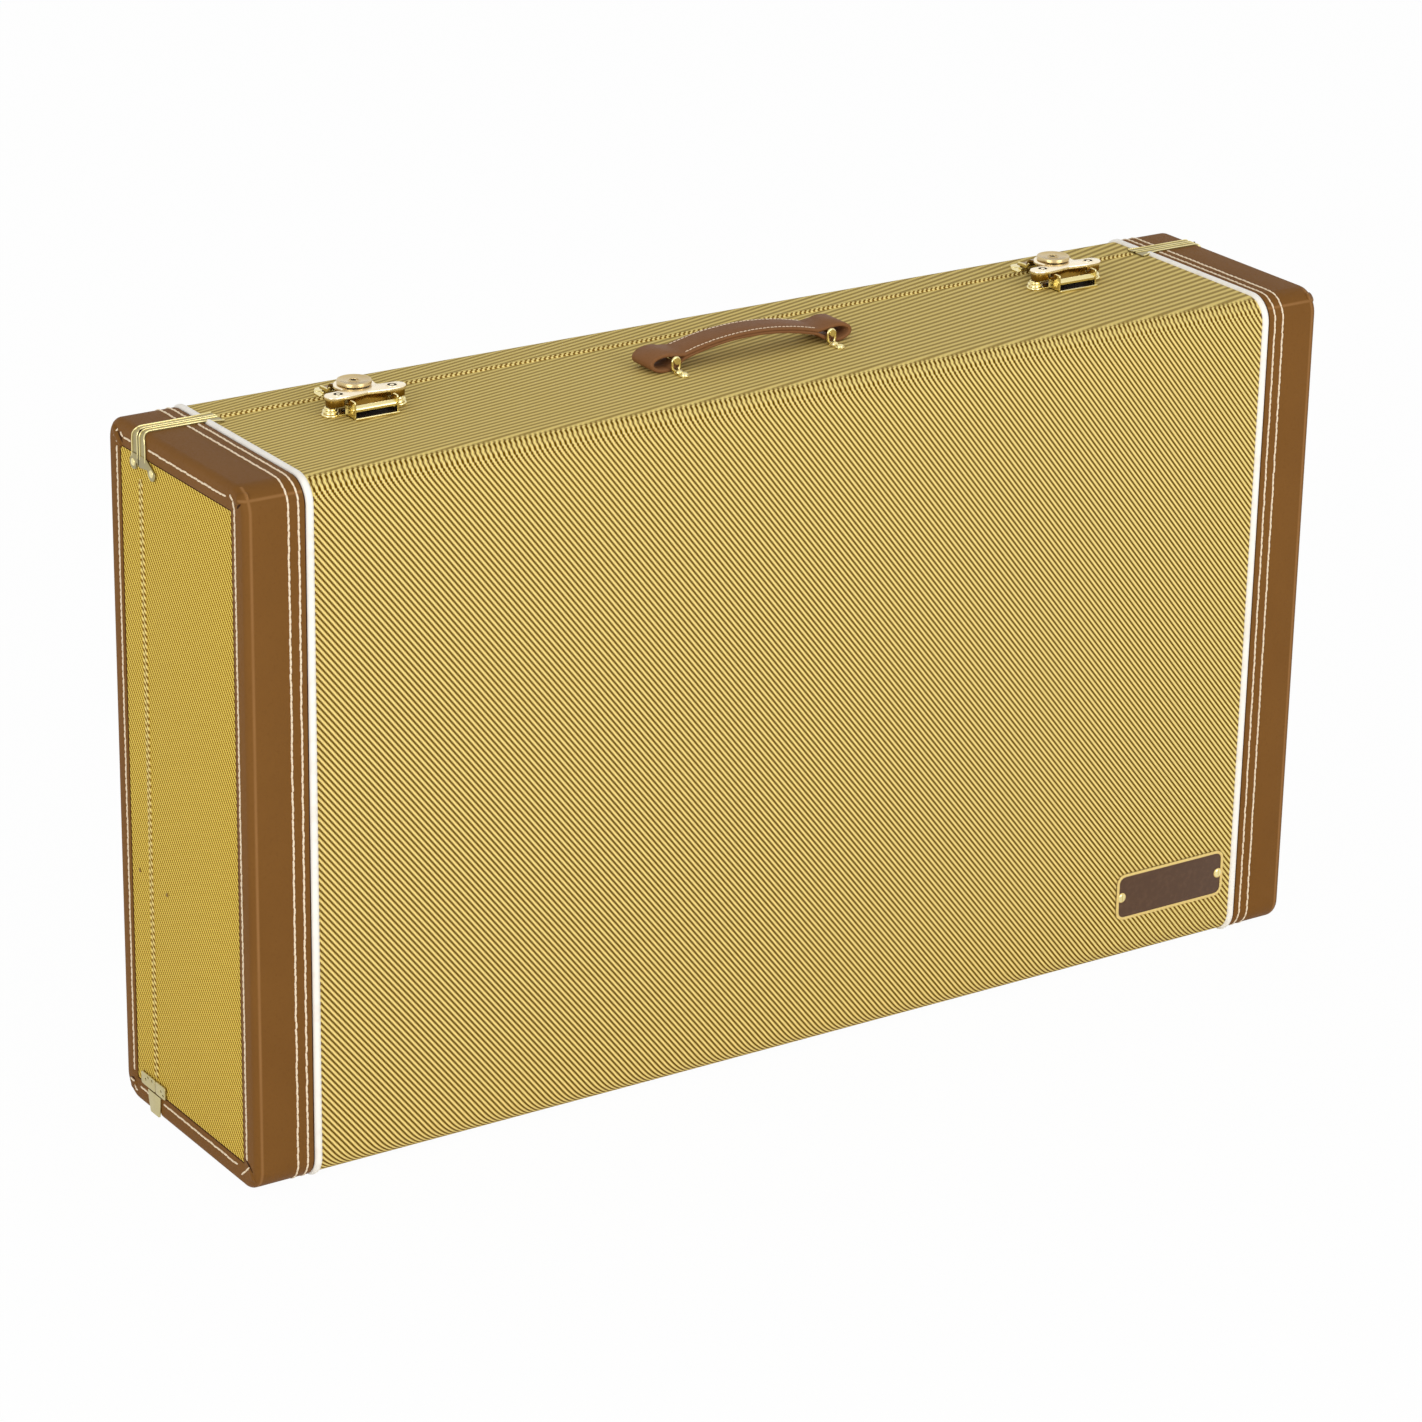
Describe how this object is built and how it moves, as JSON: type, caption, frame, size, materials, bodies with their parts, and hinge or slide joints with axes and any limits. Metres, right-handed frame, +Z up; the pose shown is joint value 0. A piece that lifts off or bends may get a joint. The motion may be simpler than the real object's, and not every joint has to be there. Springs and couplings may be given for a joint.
{
  "type": "guitar pedal case",
  "caption": "Hard-shell guitar pedal case with a deep half, a thin hinged lid, tweed covering, leather ends, brass draw latches and a strap handle.",
  "frame": {"origin": "centre of the bounding box's bottom face, on the surface that the case stands on when its hinge side is down", "axes": "+X along the length, +Y from the deep half towards the lid, +Z up to the side with the handle and latches"},
  "size_m": [0.854, 0.1872, 0.5],
  "materials": {
    "plywood": "bare birch plywood, lightly sanded",
    "tweed": "lacquered yellow-gold twill with dark brown diagonal threads",
    "leather": "mid-brown smooth leather, stitched with cream thread",
    "piping": "off-white vinyl welt",
    "plush": "short dark plush",
    "brass": "pale polished brass plate",
    "plate_enamel": "dark brown enamel with a raised cream-gold rim, otherwise bare"
  },
  "bodies": {
    "deep_half": {"clip_rivets_deep": "brass", "deep_bottom_board": "plywood", "deep_end_board_left": "plywood", "deep_end_board_right": "plywood", "deep_face_board": "plywood", "deep_leather_base": "leather", "deep_leather_left": "leather", "deep_leather_right": "leather", "deep_lining": "plush", "deep_piping": "piping", "deep_top_board": "plywood", "deep_tweed_ends": "tweed", "deep_tweed_wrap": "tweed", "handle_bars": "brass", "handle_feet": "brass", "handle_rings": "brass", "hasp_pins": "brass", "hinge_leaves_deep": "brass", "hinge_pins": "brass", "latch_base_left": "brass", "latch_base_right": "brass", "latch_base_rivets": "brass", "name_plate": "plate_enamel", "name_plate_screws": "brass", "seam_clips_deep": "brass", "stay_studs_deep": "brass", "tongue_left": "plywood", "tongue_right": "plywood", "tongue_top": "plywood"},
    "lid": {"catch_plate_left": "brass", "catch_plate_right": "brass", "clip_rivets_lid": "brass", "hinge_leaves_lid": "brass", "lid_bottom_board": "plywood", "lid_end_board_left": "plywood", "lid_end_board_right": "plywood", "lid_face_board": "plywood", "lid_leather_base": "leather", "lid_leather_left": "leather", "lid_leather_right": "leather", "lid_lining": "plush", "lid_piping": "piping", "lid_top_board": "plywood", "lid_tweed_ends": "tweed", "lid_tweed_wrap": "tweed", "seam_clips_lid": "brass", "stay_studs_lid": "brass"},
    "handle": {"handle_strap": "leather"},
    "hasp_left": {"hasp_plate_left": "brass", "hasp_strip_left": "brass"},
    "lock_disc_left": {"lock_disc_left": "brass"},
    "stay_lower_left": {"stay_lower_left": "brass"},
    "stay_upper_left": {"stay_upper_left": "brass"},
    "hasp_right": {"hasp_plate_right": "brass", "hasp_strip_right": "brass"},
    "lock_disc_right": {"lock_disc_right": "brass"},
    "stay_lower_right": {"stay_lower_right": "brass"},
    "stay_upper_right": {"stay_upper_right": "brass"}
  },
  "joints": [
    {"name": "lid_hinge", "type": "hinge", "parent": "deep_half", "child": "lid", "pos_m": [0, 0.047, 0.003], "axis": [-1, 0, 0], "range_deg": [0, 100]},
    {"name": "stay_lower_left_turn", "type": "hinge", "parent": "deep_half", "child": "stay_lower_left", "pos_m": [-0.4106, 0.025, 0.17036], "axis": [-1, 0, 0], "range_deg": [0, 100]},
    {"name": "stay_elbow_left_turn", "type": "hinge", "parent": "stay_lower_left", "child": "stay_upper_left", "pos_m": [-0.4082, 0.041, 0.3384], "axis": [1, 0, 0], "range_deg": [0, 100]},
    {"name": "stay_lower_right_turn", "type": "hinge", "parent": "deep_half", "child": "stay_lower_right", "pos_m": [0.4106, 0.025, 0.17036], "axis": [-1, 0, 0], "range_deg": [0, 100]},
    {"name": "stay_elbow_right_turn", "type": "hinge", "parent": "stay_lower_right", "child": "stay_upper_right", "pos_m": [0.4082, 0.041, 0.3384], "axis": [1, 0, 0], "range_deg": [0, 100]},
    {"name": "hasp_left_lift", "type": "hinge", "parent": "deep_half", "child": "hasp_left", "pos_m": [-0.281, -0.0005, 0.4877], "axis": [1, 0, 0], "range_deg": [0, 110]},
    {"name": "lock_disc_left_turn", "type": "hinge", "parent": "hasp_left", "child": "lock_disc_left", "pos_m": [-0.281, 0.026, 0.4965], "axis": [0, 0, 1], "range_deg": [0, 90]},
    {"name": "hasp_right_lift", "type": "hinge", "parent": "deep_half", "child": "hasp_right", "pos_m": [0.281, -0.0005, 0.4877], "axis": [1, 0, 0], "range_deg": [0, 110]},
    {"name": "lock_disc_right_turn", "type": "hinge", "parent": "hasp_right", "child": "lock_disc_right", "pos_m": [0.281, 0.026, 0.4965], "axis": [0, 0, 1], "range_deg": [0, 90]},
    {"name": "handle_lift", "type": "slide", "parent": "deep_half", "child": "handle", "axis": [0, 0, 1], "range_m": [0, 0.0025]}
  ],
  "couplings": [
    {"joint": "stay_lower_left_turn", "follows": "lid_hinge", "ratio": 1},
    {"joint": "stay_elbow_left_turn", "follows": "lid_hinge", "ratio": 1},
    {"joint": "stay_lower_right_turn", "follows": "lid_hinge", "ratio": 1},
    {"joint": "stay_elbow_right_turn", "follows": "lid_hinge", "ratio": 1}
  ]
}
